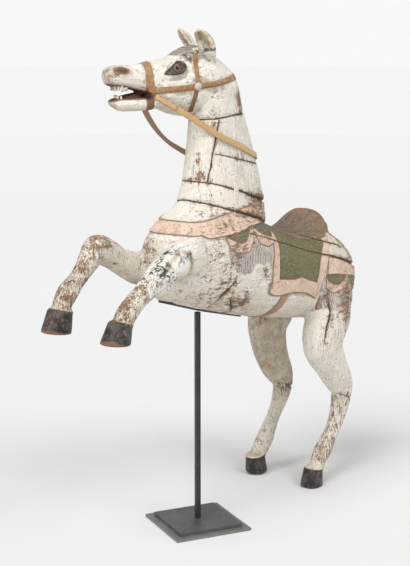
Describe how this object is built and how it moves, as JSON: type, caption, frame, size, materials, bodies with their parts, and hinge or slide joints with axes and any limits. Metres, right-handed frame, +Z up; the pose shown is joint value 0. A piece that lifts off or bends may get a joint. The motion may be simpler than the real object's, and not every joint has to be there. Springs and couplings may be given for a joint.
{
  "type": "carousel horse on a display stand",
  "caption": "Rearing carved wooden carousel horse with a leather rein, held under the belly by a steel strap on a post and stepped square base.",
  "frame": {"origin": "on the floor at the post's axis, at the centre of the lower base plate's underside", "axes": "+X the way the horse's body faces, +Y its left, +Z up"},
  "size_m": [1.2721, 0.3578, 1.4688],
  "materials": {
    "painted_wood": "old flaking paint",
    "painted_iron": "painted over, matt",
    "dark_iron": "dark, dull",
    "rein_leather": "satin",
    "black_steel": "satin black",
    "grey_steel": "worn dark grey",
    "brown_steel": "worn brown grey"
  },
  "bodies": {
    "root": {"horse": "painted_wood", "neck_mending_plate": "painted_iron", "bit_nail_left": "dark_iron", "bit_nail_right": "dark_iron", "rein": "rein_leather", "cradle_strap": "black_steel", "post": "black_steel", "upper_base_plate": "grey_steel", "lower_base_plate": "brown_steel"}
  },
  "joints": []
}
